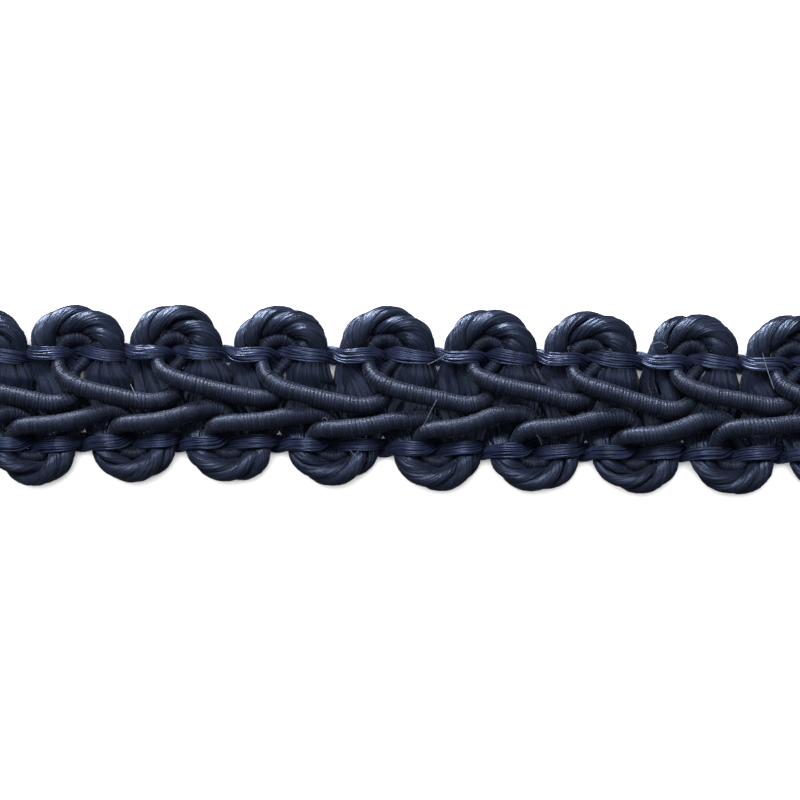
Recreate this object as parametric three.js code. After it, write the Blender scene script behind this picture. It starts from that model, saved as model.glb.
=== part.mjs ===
// A cut length of gimp braid trim, lying flat, in millimetres with +Z up and the length along X.
// One thick silky rope swings between two rows of scallops. A wrapped gimp cord curls through
// each row of eyes, and each row of eyes is held by two flat warp bundles in plain weave.
import * as THREE from 'three';

const table = (columns, ...rows) => rows.map(
  (row) => Object.fromEntries(row.map((value, i) => [columns[i], value])),
);

// Sizes of the strands
const GIMP_RADIUS = 0.68;
const WARP_HALF_THICK = 0.16;
const CLEARANCE = 0.42;
const FLOOR_GAP = 0.05;

// Length at which the braid is cut, each way from the middle
const CUT = 39.4;

// The section of each strand
const GIMP_SIDES = 8;
const PLIES = 3;
const PLY_TURN = 9.5;
const VALLEY = 0.76;
const CREST = 1.03;

// Farthest apart that two sections of a strand stand, and the most it turns between them
const SPACING = {
  rope: { run: 1.15, turn: 0.42 },
  gimp: { run: 1.6, turn: 0.44 },
  warp: { run: 1.05, turn: 0.6 },
};

// Eyes of each row: place on the warp line, half width and height of the scallop beyond it
const UPPER_EYES = table(
  ['x', 'y', 'wide', 'high'],
  [-35.15, 3.75, 3.95, 4.10],
  [-27.05, 3.75, 4.05, 4.15],
  [-18.85, 3.90, 3.75, 4.00],
  [-10.10, 3.75, 3.90, 3.90],
  [-1.15, 3.65, 3.90, 4.10],
  [7.40, 3.50, 3.70, 4.10],
  [15.70, 3.25, 3.80, 4.15],
  [24.35, 3.10, 3.65, 4.25],
  [32.75, 2.90, 3.85, 4.25],
);
const LOWER_EYES = table(
  ['x', 'y', 'wide', 'high'],
  [-30.85, -3.60, 3.55, 3.40],
  [-22.45, -3.40, 3.55, 3.25],
  [-14.40, -3.40, 3.70, 3.40],
  [-5.80, -3.60, 3.80, 3.35],
  [2.95, -3.90, 3.55, 3.90],
  [11.15, -4.10, 3.75, 3.60],
  [19.60, -4.25, 3.65, 3.40],
  [27.65, -4.35, 3.60, 3.60],
  [36.00, -4.40, 3.65, 3.60],
);

// Where each strand runs through one scallop, measured from its eye. The upper tables are for a
// scallop 3.9 wide and 4.1 high, the lower ones for 3.65 and 3.5.
const UPPER_SIZE = { wide: 3.9, high: 4.1, outward: 1 };
const LOWER_SIZE = { wide: 3.65, high: 3.5, outward: -1 };
const ROUTE = ['x', 'y', 'z', 'across', 'thick'];

// The upper cord comes in under the next tail, curls up round the eye and leaves as a tail
const UPPER_GIMP = table(
  ROUTE,
  [-2.00, -4.33, 2.25],
  [-0.75, -4.30, 1.85],
  [0.40, -4.10, 1.05],
  [1.05, -3.30, 0.85],
  [1.35, -2.15, 0.90],
  [1.25, -1.00, 1.15],
  [0.92, 0.10, 1.31],
  [0.38, 0.98, 1.35],
  [-0.54, 1.38, 1.35],
  [-1.50, 1.00, 1.35],
  [-2.00, 0.15, 1.31],
  [-1.95, -0.75, 1.50],
  [-1.50, -1.60, 2.00],
  [-0.67, -2.33, 2.40],
  [0.50, -2.87, 2.65],
  [1.83, -3.25, 2.65],
  [4.40, -3.80, 2.45],
);
const UPPER_GIMP_LEAD = [];
const UPPER_GIMP_TAIL = table(ROUTE, [6.60, -4.30, 2.25]);

const LOWER_GIMP = table(
  ROUTE,
  [-2.10, 2.42, 2.25],
  [-0.70, 2.54, 1.50],
  [0.30, 2.20, 1.00],
  [1.00, 1.40, 0.88],
  [1.32, 0.50, 1.00],
  [1.35, -0.30, 1.25],
  [0.95, -0.95, 1.35],
  [-0.10, -1.25, 1.35],
  [-1.40, -0.85, 1.35],
  [-1.98, 0.25, 1.31],
  [-1.65, 0.95, 1.75],
  [-1.00, 1.35, 2.25],
  [0.05, 1.47, 2.55],
  [1.60, 1.55, 2.70],
  [3.30, 1.72, 2.50],
  [5.00, 2.10, 2.30],
);
const LOWER_GIMP_LEAD = table(ROUTE, [-5.00, 1.75, 2.30], [-3.50, 2.15, 2.30]);
const LOWER_GIMP_TAIL = [];

// The rope goes up the left leg, over the scallop and down the right leg, flattened at its foot
const UPPER_ROPE = table(
  ROUTE,
  [-2.15, -3.95, 0.60, 0.85, 0.45],
  [-2.75, -2.50, 0.72, 0.80, 0.50],
  [-3.15, -1.15, 1.05, 0.75, 0.62],
  [-3.32, 0.00, 1.30, 0.66, 0.68],
  [-3.12, 1.22, 1.14, 0.80, 0.85],
  [-2.10, 2.42, 1.04, 0.84, 0.90],
  [-0.15, 3.04, 1.02, 0.84, 0.90],
  [1.88, 2.50, 1.04, 0.84, 0.90],
  [3.00, 1.28, 1.14, 0.84, 0.85],
  [2.85, 0.00, 1.30, 0.75, 0.68],
  [3.05, -1.20, 1.05, 0.78, 0.62],
  [3.10, -2.40, 0.72, 0.80, 0.50],
  [2.75, -3.75, 0.60, 0.80, 0.45],
);
const LOWER_ROPE = table(
  ROUTE,
  [-2.25, 2.50, 0.60, 0.80, 0.45],
  [-2.85, 1.15, 0.90, 0.70, 0.58],
  [-3.00, -0.05, 1.30, 0.62, 0.66],
  [-2.72, -1.10, 1.14, 0.70, 0.80],
  [-1.58, -1.98, 1.02, 0.68, 0.86],
  [0.00, -2.36, 1.02, 0.67, 0.86],
  [1.66, -1.96, 1.02, 0.68, 0.86],
  [2.78, -1.00, 1.14, 0.70, 0.80],
  [3.00, 0.00, 1.30, 0.62, 0.66],
  [2.90, 1.15, 0.90, 0.70, 0.58],
  [2.50, 2.35, 0.60, 0.80, 0.45],
);

// Each warp bundle passes over one side of every eye and under the other, and the two change
// places side by side in the eye and again between the scallops
const OVER = 2.56;
const UNDER = WARP_HALF_THICK;
const WARP_OVER_LEFT = table(
  ROUTE,
  [-4.25, -0.42, 1.30, 0.26],
  [-3.35, -0.10, OVER, 0.50],
  [-1.95, -0.10, OVER, 0.50],
  [-0.55, -0.40, 1.30, 0.22],
  [0.75, 0.00, UNDER, 0.42],
  [3.05, 0.00, UNDER, 0.42],
);
const WARP_OVER_RIGHT = table(
  ROUTE,
  [-4.25, 0.42, 1.30, 0.26],
  [-3.35, 0.00, UNDER, 0.42],
  [-1.85, 0.00, UNDER, 0.42],
  [-0.55, 0.40, 1.30, 0.22],
  [0.75, 0.10, OVER, 0.50],
  [2.95, 0.10, OVER, 0.50],
);
const WARP_LEAD = 1.2;

// How the strands settle clear of one another
const BEAD_STEP = 0.45;
const NEAR = 3.0;
const SELF_REACH = 3.4;
const ROUNDS = 300;
const LAST_ROUNDS = 10;
const SMOOTHING = 0.5;
const HOME_PULL = 0.009;
const BUNDLE_SPARE = 0.06;
const LEVEL_WITHIN = 0.03;

const COLOURS = { gimp: 0x2c3045, rope: 0x262b42, warp: 0x3a4470 };

/** The rows of a route through every eye, fitted to each scallop's own width and height. */
function rowsThrough(eyes, route, size) {
  return eyes.flatMap((eye) => route.map((row) => {
    const beyond = row.y * size.outward > 0;
    return {
      ...row,
      x: eye.x + row.x * (eye.wide / size.wide),
      y: eye.y + row.y * (beyond ? eye.high / size.high : 1),
    };
  }));
}

const cubic = (a, b, c, d, t) => b + 0.5 * t * (
  c - a + t * (2 * a - 5 * b + 4 * c - d + t * (3 * (b - c) + d - a)));

/** A Catmull-Rom curve through all columns of the rows, as beads a set distance apart. */
function beadsAlong(rows, step, blend = cubic) {
  const keys = ['x', 'y', 'z', 'across', 'thick'];
  const pick = (i) => rows[Math.max(0, Math.min(rows.length - 1, i))];
  const FINE = 24;
  const fine = [];
  for (let i = 0; i < rows.length - 1; i += 1) {
    for (let j = 0; j < FINE; j += 1) {
      fine.push(keys.map((key) => blend(
        pick(i - 1)[key],
        pick(i)[key],
        pick(i + 1)[key],
        pick(i + 2)[key],
        j / FINE,
      )));
    }
  }
  const last = pick(rows.length);
  fine.push(keys.map((key) => last[key]));
  const runs = [0];
  for (let i = 1; i < fine.length; i += 1) {
    const [p, q] = [fine[i - 1], fine[i]];
    runs.push(runs[i - 1] + Math.hypot(q[0] - p[0], q[1] - p[1], q[2] - p[2]));
  }
  const count = Math.round(runs.at(-1) / step);
  const beads = [];
  for (let k = 0, i = 0; k <= count; k += 1) {
    const run = (runs.at(-1) * k) / count;
    while (i < fine.length - 2 && runs[i + 1] < run) i += 1;
    const share = (run - runs[i]) / (runs[i + 1] - runs[i]);
    const [x, y, z, across, thick] = keys.map(
      (_, c) => fine[i][c] + share * (fine[i + 1][c] - fine[i][c]),
    );
    beads.push({ at: new THREE.Vector3(x, y, z), across, thick });
  }
  return beads;
}

/** A strand: its beads, each with the place it starts from and its half sizes. */
function strand(name, rows, blend) {
  const inside = (bead) => Math.abs(bead.at.x) < CUT;
  const beads = beadsAlong(rows, BEAD_STEP, blend).filter(inside);
  for (const bead of beads) {
    bead.flat = name.startsWith('warp');
    bead.fixed = bead.flat && bead.at.z < UNDER + LEVEL_WITHIN;
    if (bead.fixed) bead.at.z = UNDER;
    bead.home = bead.at.clone();
  }
  return { name, beads };
}

const UP = new THREE.Vector3(0, 0, 1);

/** Turns each bead's section square to the strand, its width lying level. */
function face(beads) {
  for (let i = 0; i < beads.length; i += 1) {
    const before = beads[Math.max(0, i - 1)].at;
    const after = beads[Math.min(beads.length - 1, i + 1)].at;
    const along = after.clone().sub(before);
    if (beads[i].fixed) along.z = 0;
    along.normalize();
    beads[i].side = along.clone().cross(UP).normalize();
    beads[i].top = beads[i].side.clone().cross(along);
  }
}

/** How far a bead's section reaches one way: flat bundles as a bar, cords as an ellipse. */
function reach(bead, way) {
  const across = bead.across * bead.side.dot(way);
  const thick = bead.thick * bead.top.dot(way);
  if (bead.flat) return Math.abs(across) + Math.abs(thick) + BUNDLE_SPARE;
  return Math.hypot(across, thick);
}

/** Every two beads that may come near each other, on one strand only well apart along it. */
function nearPairs(strands) {
  const all = strands.flatMap((one, s) => one.beads.map((bead, i) => ({ bead, s, i })));
  const pairs = [];
  const skip = SELF_REACH / BEAD_STEP;
  for (let m = 0; m < all.length; m += 1) {
    for (let n = m + 1; n < all.length; n += 1) {
      const [p, q] = [all[m], all[n]];
      if (p.s === q.s && q.i - p.i < skip) continue;
      if (p.bead.fixed && q.bead.fixed) continue;
      if (p.bead.at.distanceTo(q.bead.at) < NEAR) pairs.push([p.bead, q.bead]);
    }
  }
  return pairs;
}

/** Moves two beads apart along the line between them until their sections are clear. */
function part(one, two, way) {
  way.subVectors(one.at, two.at);
  const apart = way.length();
  way.divideScalar(apart);
  const short = reach(one, way) + reach(two, way) + CLEARANCE - apart;
  if (short <= 0) return;
  const share = one.fixed || two.fixed ? 1 : 0.5;
  if (!one.fixed) one.at.addScaledVector(way, short * share);
  if (!two.fixed) two.at.addScaledVector(way, -short * share);
}

/** Evens out how far the beads of a strand were moved, and draws them back towards home. */
function ease(beads, strength) {
  const shifts = beads.map((bead) => bead.at.clone().sub(bead.home));
  for (let i = 0; i < beads.length; i += 1) {
    const bead = beads[i];
    if (!bead.fixed) {
      const before = shifts[Math.max(0, i - 1)];
      const after = shifts[Math.min(beads.length - 1, i + 1)];
      const even = before.clone().add(after).multiplyScalar(0.5);
      const shift = shifts[i].lerp(even, SMOOTHING * strength);
      shift.multiplyScalar(1 - HOME_PULL * strength);
      bead.at.copy(bead.home).add(shift);
    }
    const lowest = bead.thick + (bead.fixed ? 0 : FLOOR_GAP);
    bead.at.z = Math.max(bead.at.z, lowest);
  }
}

function settle(strands) {
  const pairs = nearPairs(strands);
  const way = new THREE.Vector3();
  for (let round = 0; round < ROUNDS; round += 1) {
    for (const one of strands) face(one.beads);
    for (const [p, q] of pairs) part(p, q, way);
    for (const one of strands) ease(one.beads, round < ROUNDS - LAST_ROUNDS ? 1 : 0);
  }
  for (const one of strands) face(one.beads);
}

/** Sections along a strand, closer together where it bends, each with its run from the start. */
function sectionsAlong(beads, spacing) {
  const costs = [0];
  const runs = [0];
  for (let i = 1; i < beads.length; i += 1) {
    const back = beads[i].at.clone().sub(beads[Math.max(0, i - 2)].at);
    const on = beads[Math.min(beads.length - 1, i + 1)].at.clone().sub(beads[i - 1].at);
    const run = beads[i].at.distanceTo(beads[i - 1].at);
    const cost = Math.max(run / spacing.run, back.angleTo(on) / spacing.turn);
    costs.push(costs[i - 1] + cost);
    runs.push(runs[i - 1] + run);
  }
  const count = Math.ceil(costs.at(-1));
  const sections = [];
  for (let k = 0, i = 0; k <= count; k += 1) {
    const cost = (costs.at(-1) * k) / count;
    while (i < beads.length - 2 && costs[i + 1] < cost) i += 1;
    const share = (cost - costs[i]) / (costs[i + 1] - costs[i]);
    const [from, to] = [beads[i], beads[i + 1]];
    sections.push({
      at: from.at.clone().lerp(to.at, share),
      across: from.across + share * (to.across - from.across),
      thick: from.thick + share * (to.thick - from.thick),
      run: runs[i] + share * (runs[i + 1] - runs[i]),
      fixed: from.fixed && to.fixed,
    });
  }
  return sections;
}

/** A closed solid: a section carried along the beads, capped at both ends. */
function sweep(beads, outlineAt) {
  face(beads);
  const positions = [];
  const index = [];
  const sides = outlineAt(0).length;
  const point = new THREE.Vector3();
  beads.forEach((bead) => {
    for (const [across, thick] of outlineAt(bead.run)) {
      point.copy(bead.at)
        .addScaledVector(bead.side, across * bead.across)
        .addScaledVector(bead.top, thick * bead.thick);
      positions.push(point.x, point.y, point.z);
    }
  });
  for (let i = 0; i < beads.length - 1; i += 1) {
    for (let j = 0; j < sides; j += 1) {
      const a = i * sides + j;
      const b = i * sides + ((j + 1) % sides);
      index.push(a, b + sides, b, a, a + sides, b + sides);
    }
  }
  const lastRing = (beads.length - 1) * sides;
  for (const [ring, end, turn] of [[0, beads[0], 0], [lastRing, beads.at(-1), 1]]) {
    const middle = positions.length / 3;
    positions.push(end.at.x, end.at.y, end.at.z);
    for (let j = 0; j < sides; j += 1) {
      const pair = [ring + j, ring + ((j + 1) % sides)];
      index.push(middle, pair[turn], pair[1 - turn]);
    }
  }
  const geometry = new THREE.BufferGeometry();
  geometry.setAttribute('position', new THREE.Float32BufferAttribute(positions, 3));
  geometry.setIndex(index);
  return geometry;
}

function roundOutline(sides) {
  return Array.from({ length: sides }, (_, j) => {
    const angle = (2 * Math.PI * (j + 0.5)) / sides;
    return [Math.cos(angle), Math.sin(angle)];
  });
}

/** Three rounded plies laid together, turning as they run along the rope. */
function ropeOutline(run) {
  const lay = (2 * Math.PI * run) / PLY_TURN;
  const corners = [VALLEY, CREST, CREST];
  return Array.from({ length: PLIES * corners.length }, (_, j) => {
    const angle = lay + (2 * Math.PI * j) / (PLIES * corners.length);
    const radius = corners[j % corners.length];
    return [radius * Math.cos(angle), radius * Math.sin(angle)];
  });
}

const BUNDLE_OUTLINE = [[1, -1], [1, 1], [-1, 1], [-1, -1]];

/** Warp rows with a crossing closing the last scallop, led on level to the cut at both ends. */
function warpRows(eyes, route, size) {
  const rows = rowsThrough(eyes, route, size);
  const last = rows.at(-1);
  const close = { ...rows[0], x: last.x + WARP_LEAD, y: eyes.at(-1).y + route[0].y };
  return [{ ...rows[0], x: -CUT }, ...rows, close, { ...close, x: CUT }];
}

const easeInOut = (_before, from, to, _after, t) => from + (to - from) * t * t * (3 - 2 * t);

/** Warp columns change smoothly from row to row with level runs kept level. */
function warpStrand(name, eyes, route, size) {
  const rows = warpRows(eyes, route, size).map((row) => ({ ...row, thick: WARP_HALF_THICK }));
  return strand(name, rows, easeInOut);
}

function gimpStrand(name, eyes, lead, route, tail, size) {
  const rows = [
    ...rowsThrough(eyes.slice(0, 1), lead, size),
    ...rowsThrough(eyes, route, size),
    ...rowsThrough(eyes.slice(-1), tail, size),
  ];
  return strand(name, rows.map((row) => ({ ...row, across: GIMP_RADIUS, thick: GIMP_RADIUS })));
}

function ropeStrand() {
  const upper = UPPER_EYES.map((eye) => rowsThrough([eye], UPPER_ROPE, UPPER_SIZE));
  const lower = LOWER_EYES.map((eye) => rowsThrough([eye], LOWER_ROPE, LOWER_SIZE));
  return strand('floss_weft', upper.flatMap((rows, i) => [...rows, ...lower[i]]));
}

function solid(name, geometry, colour, roughness) {
  const material = new THREE.MeshStandardMaterial({ color: colour, roughness, metalness: 0 });
  const mesh = new THREE.Mesh(geometry, material);
  mesh.name = name;
  return mesh;
}

/** Brings the middle of the braid, seen from above, to the origin. */
function centre(braid) {
  const middle = new THREE.Box3().setFromObject(braid).getCenter(new THREE.Vector3());
  for (const mesh of braid.children) mesh.geometry.translate(-middle.x, -middle.y, 0);
}

function buildBraid() {
  const upperGimp = gimpStrand(
    'gimp_upper', UPPER_EYES, UPPER_GIMP_LEAD, UPPER_GIMP, UPPER_GIMP_TAIL, UPPER_SIZE);
  const lowerGimp = gimpStrand(
    'gimp_lower', LOWER_EYES, LOWER_GIMP_LEAD, LOWER_GIMP, LOWER_GIMP_TAIL, LOWER_SIZE);
  const rope = ropeStrand();
  const warps = [
    warpStrand('warp_upper_a', UPPER_EYES, WARP_OVER_LEFT, UPPER_SIZE),
    warpStrand('warp_upper_b', UPPER_EYES, WARP_OVER_RIGHT, UPPER_SIZE),
    warpStrand('warp_lower_a', LOWER_EYES, WARP_OVER_LEFT, LOWER_SIZE),
    warpStrand('warp_lower_b', LOWER_EYES, WARP_OVER_RIGHT, LOWER_SIZE),
  ];
  settle([rope, upperGimp, lowerGimp, ...warps]);
  const braid = new THREE.Group();
  braid.name = 'gimp_braid_trim';
  const add = (one, spacing, outlineAt, colour, roughness) => {
    const geometry = sweep(sectionsAlong(one.beads, spacing), outlineAt);
    braid.add(solid(one.name, geometry, colour, roughness));
  };
  add(rope, SPACING.rope, ropeOutline, COLOURS.rope, 0.45);
  const round = roundOutline(GIMP_SIDES);
  for (const gimp of [upperGimp, lowerGimp]) {
    add(gimp, SPACING.gimp, () => round, COLOURS.gimp, 0.6);
  }
  for (const warp of warps) add(warp, SPACING.warp, () => BUNDLE_OUTLINE, COLOURS.warp, 0.4);
  centre(braid);
  return braid;
}

export default buildBraid();
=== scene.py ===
"""Gimp braid trim, lying flat and seen from straight above: finish, strands, light and camera."""

from functools import partial

import bpy
import numpy as np
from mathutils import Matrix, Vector


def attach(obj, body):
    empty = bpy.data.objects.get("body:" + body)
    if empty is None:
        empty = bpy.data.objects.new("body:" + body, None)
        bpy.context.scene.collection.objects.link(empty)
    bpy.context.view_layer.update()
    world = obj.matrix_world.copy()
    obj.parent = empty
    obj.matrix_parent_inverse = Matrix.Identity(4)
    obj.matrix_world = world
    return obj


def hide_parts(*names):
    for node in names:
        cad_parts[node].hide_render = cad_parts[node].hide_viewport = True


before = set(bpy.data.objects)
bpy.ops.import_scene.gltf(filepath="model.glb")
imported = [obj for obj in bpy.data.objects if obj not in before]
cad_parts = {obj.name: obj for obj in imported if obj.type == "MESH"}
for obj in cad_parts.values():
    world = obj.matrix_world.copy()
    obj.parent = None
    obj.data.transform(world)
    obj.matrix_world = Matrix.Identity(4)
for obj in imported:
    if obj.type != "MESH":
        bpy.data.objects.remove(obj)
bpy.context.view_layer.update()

MM = 0.001
RNG = np.random.default_rng(7)

# Eyes of each row in millimetres: place on the warp line, half width and height of the scallop, how
# far its left and right legs are spread, and how much further up the braid its tail lies near the eye
# and at its end
UPPER_EYES = (
    (-35.15, 3.75, 3.95, 4.10, 1.05, 1.05, 0.10, 0.00),
    (-27.05, 3.75, 4.05, 4.15, 1.03, 1.02, 0.15, 0.00),
    (-18.85, 3.90, 3.75, 4.00, 1.04, 1.09, 0.62, 0.50),
    (-10.10, 3.75, 3.90, 3.90, 1.05, 0.91, 0.00, -0.12),
    (-1.15, 3.65, 3.90, 4.10, 0.96, 0.96, 0.18, 0.15),
    (7.40, 3.50, 3.70, 4.10, 0.99, 1.02, 0.75, 0.80),
    (15.70, 3.25, 3.80, 4.15, 1.03, 0.94, 0.58, 0.10),
    (24.35, 3.10, 3.65, 4.25, 0.96, 0.94, 0.48, 0.62),
    (32.75, 2.90, 3.85, 4.25, 0.97, 1.02, 0.30, 0.30),
)
LOWER_EYES = (
    (-30.85, -3.60, 3.55, 3.40, 1.05, 1.07, 0.05, 0.15),
    (-22.45, -3.40, 3.55, 3.25, 1.05, 1.04, 0.00, 0.25),
    (-14.40, -3.40, 3.70, 3.40, 1.03, 1.12, 0.03, -0.05),
    (-5.80, -3.60, 3.80, 3.35, 1.10, 1.12, -0.28, -0.22),
    (2.95, -3.90, 3.55, 3.90, 1.12, 1.05, 0.08, 0.60),
    (11.15, -4.10, 3.75, 3.60, 1.05, 1.10, 0.30, 0.45),
    (19.60, -4.25, 3.65, 3.40, 1.10, 1.04, -0.15, 0.40),
    (27.65, -4.35, 3.60, 3.60, 1.04, 1.06, 0.60, 0.30),
    (36.00, -4.40, 3.65, 3.60, 1.06, 1.05, 0.00, 0.00),
)
# The scallop that each row's routes are written for, which way it points, and how proud its bundles lie
UPPER_SIZE = {"wide": 3.9, "high": 4.1, "outward": 1, "crest": 1.0}
LOWER_SIZE = {"wide": 3.65, "high": 3.5, "outward": -1, "crest": 1.35}

# Middle of the braid in the routes' millimetres, and the length at which it is cut, each way
MIDDLE = (0.13, -0.105)
CUT = 39.4

# Routes through one scallop, in millimetres from its eye
# Cord: x, y, z, radius, and the shares of its tail's two lifts. Its first rows end the tail before
ROWS_OF_TAIL_BEFORE = 3
UPPER_GIMP = (
    (-2.00, -4.15, 2.10, 0.72, 0.0, 0.9),
    (-0.80, -4.02, 1.62, 0.68, 0.0, 0.6),
    (0.02, -3.60, 1.15, 0.60, 0.0, 0.3),
    (0.05, -2.95, 0.95, 0.54, 0.0, 0.0),
    (-0.30, -2.20, 0.80, 0.50, 0.0, 0.0),
    (-0.15, -1.40, 0.80, 0.48, 0.0, 0.0),
    (0.80, -0.70, 0.85, 0.48, 0.0, 0.0),
    (1.40, 0.20, 0.72, 0.50, 0.0, 0.0),
    (1.10, 1.08, 0.98, 0.54, 0.0, 0.0),
    (0.00, 1.50, 1.20, 0.57, 0.0, 0.0),
    (-1.08, 1.12, 1.13, 0.54, 0.0, 0.0),
    (-1.50, 0.25, 0.98, 0.50, 0.0, 0.0),
    (-1.62, -0.75, 1.40, 0.53, 0.1, 0.0),
    (-1.35, -1.60, 1.95, 0.61, 0.4, 0.0),
    (-0.62, -2.33, 2.30, 0.68, 0.8, 0.0),
    (0.50, -2.87, 2.55, 0.72, 1.0, 0.0),
    (1.83, -3.25, 2.60, 0.72, 1.0, 0.0),
    (4.40, -3.80, 2.45, 0.72, 0.4, 0.6),
)
UPPER_GIMP_TAIL = ((6.60, -4.30, 2.25, 0.72, 0.0, 1.0),)
LOWER_GIMP = (
    (-2.10, 2.42, 2.25, 0.72, 0.0, 1.0),
    (-0.80, 2.54, 1.75, 0.68, 0.0, 0.9),
    (0.15, 2.15, 1.25, 0.60, 0.0, 0.5),
    (0.80, 1.40, 0.90, 0.52, 0.0, 0.0),
    (1.30, 0.50, 0.84, 0.50, 0.0, 0.0),
    (1.45, -0.30, 0.84, 0.50, 0.0, 0.0),
    (0.95, -0.95, 0.98, 0.50, 0.0, 0.0),
    (-0.05, -1.25, 1.05, 0.50, 0.0, 0.0),
    (-1.15, -0.85, 1.00, 0.50, 0.0, 0.0),
    (-1.60, 0.20, 0.92, 0.50, 0.0, 0.0),
    (-1.50, 0.95, 1.75, 0.56, 0.3, 0.0),
    (-0.95, 1.35, 2.45, 0.66, 0.7, 0.0),
    (0.05, 1.47, 2.85, 0.72, 1.0, 0.0),
    (1.60, 1.55, 2.98, 0.72, 1.0, 0.0),
    (3.30, 1.72, 2.85, 0.72, 0.6, 0.4),
    (5.00, 2.10, 2.50, 0.72, 0.1, 0.9),
)
LOWER_GIMP_LEAD = ((-5.00, 1.75, 2.30, 0.72, 0.0, 0.0), (-3.50, 2.15, 2.30, 0.72, 0.0, 0.0))
# Rope: x, y, z, half width across, half thickness. Its legs are spread between two distances inward of
# the eye
LEG_FROM = 0.3
LEG_TO = 2.6
UPPER_ROPE = (
    (-2.10, -4.10, 0.46, 2.30, 0.30),
    (-2.05, -3.10, 0.46, 2.30, 0.31),
    (-2.00, -2.10, 0.50, 2.05, 0.36),
    (-2.05, -1.20, 0.52, 2.10, 0.38),
    (-2.40, -0.55, 0.62, 1.72, 0.38),
    (-3.00, 0.05, 0.84, 1.04, 0.48),
    (-3.04, 0.60, 0.92, 1.02, 0.56),
    (-3.04, 1.30, 1.18, 1.06, 1.04),
    (-2.06, 2.42, 1.22, 1.10, 1.16),
    (-0.10, 2.98, 1.22, 1.10, 1.18),
    (1.84, 2.42, 1.22, 1.16, 1.16),
    (2.74, 1.32, 1.18, 1.28, 1.04),
    (2.78, 0.60, 0.92, 1.18, 0.56),
    (2.74, 0.05, 0.84, 1.16, 0.48),
    (2.30, -0.55, 0.78, 1.78, 0.46),
    (2.05, -1.20, 0.68, 2.08, 0.44),
    (2.15, -2.10, 0.54, 1.95, 0.40),
    (2.20, -3.10, 0.46, 2.10, 0.31),
    (2.10, -4.10, 0.46, 2.30, 0.30),
)
LOWER_ROPE = (
    (-2.10, 2.75, 0.46, 2.30, 0.30),
    (-2.05, 1.80, 0.48, 2.25, 0.33),
    (-2.22, 1.05, 0.58, 2.02, 0.40),
    (-2.78, 0.50, 0.76, 1.25, 0.46),
    (-2.82, -0.05, 0.84, 1.00, 0.48),
    (-2.76, -0.60, 0.92, 0.96, 0.56),
    (-2.52, -1.20, 1.12, 0.94, 0.98),
    (-1.46, -1.92, 1.14, 0.96, 1.06),
    (0.12, -2.32, 1.14, 0.98, 1.08),
    (1.84, -1.94, 1.14, 1.02, 1.06),
    (2.80, -1.20, 1.12, 1.06, 0.98),
    (2.92, -0.60, 0.92, 1.04, 0.56),
    (2.90, 0.00, 0.84, 1.08, 0.48),
    (2.78, 0.50, 0.76, 1.35, 0.46),
    (2.38, 1.05, 0.58, 1.86, 0.40),
    (2.22, 1.80, 0.48, 2.10, 0.32),
    (2.10, 2.65, 0.46, 2.30, 0.30),
)
# Warp bundle: x, y, z, half width across, with the heights of its level runs over and under
BUNDLE_THICK = 0.17
OVER = 1.60
UNDER = BUNDLE_THICK + 0.05
LEVEL_WITHIN = 0.03
WARP_OVER_LEFT = (
    (-4.50, 0.50, 0.28, 0.38),
    (-4.02, 0.28, 0.48, 0.44),
    (-3.58, 0.04, 0.95, 0.54),
    (-3.00, 0.00, OVER - 0.20, 0.57),
    (-2.20, 0.00, OVER, 0.58),
    (-1.50, 0.00, OVER, 0.58),
    (-0.98, 0.00, OVER - 0.40, 0.56),
    (-0.62, -0.20, 0.70, 0.62),
    (-0.15, -0.58, 0.34, 0.90),
    (0.60, -0.50, UNDER, 0.80),
    (1.40, -0.15, UNDER, 0.50),
    (3.05, 0.10, UNDER, 0.50),
)
WARP_OVER_RIGHT = (
    (-4.15, -0.30, 0.30, 0.40),
    (-3.35, 0.00, UNDER, 0.44),
    (-1.65, 0.00, UNDER, 0.44),
    (0.10, 0.10, 0.42, 0.48),
    (0.60, 0.02, 0.80, 0.55),
    (0.95, 0.00, OVER - 0.45, 0.58),
    (1.45, 0.00, OVER - 0.25, 0.59),
    (2.45, 0.00, OVER, 0.59),
    (3.15, 0.00, OVER - 0.06, 0.57),
    (3.88, -0.08, 0.72, 0.44),
)
WARP_LEAD = 1.2

# How the strands settle against one another: beads every BEAD_STEP, compared within NEAR, and on one
# strand only SELF_REACH or more apart along it. Soft strands press in where they touch
BEAD_STEP = 0.4
NEAR = 2.9
SELF_REACH = 3.4
PRESSED_IN = 0.12
ROUNDS = 260
CROWDING = 0.4
SMOOTHING = 0.5
HOME_PULL = 0.012
BLOCK = 200

# In what follows each WANDER is a spread about the mean, and the number of rings it is smooth over.
# The wrap of the gimp cord, in millimetres. Each turn's height is a share of the depth between two limits
WRAP_PITCH = 0.25
WRAP_DEPTH = 0.085
WRAP_INSET = 0.6
TURN_HEIGHTS = (0.65, 1.2)
PITCH_WANDER = (0.12, 60)
RADIUS_WANDER = (0.012, 90)
RINGS_PER_WRAP = 5
WRAP_SIDES = 14

# Fuzz on the cord's thread: short spikes, in millimetres, with the shares that point out, round and along
FUZZ_PER_MM = 38
FUZZ_LENGTH = (0.05, 0.15)
FUZZ_RADIUS = 0.013
FUZZ_SINK = 0.3
FUZZ_SHIFT = 0.1
FUZZ_OUT = (0.3, 1.0)
FUZZ_ROUND = 0.8
FUZZ_ALONG = 0.5
LEVEL_WAY = 0.02

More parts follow.
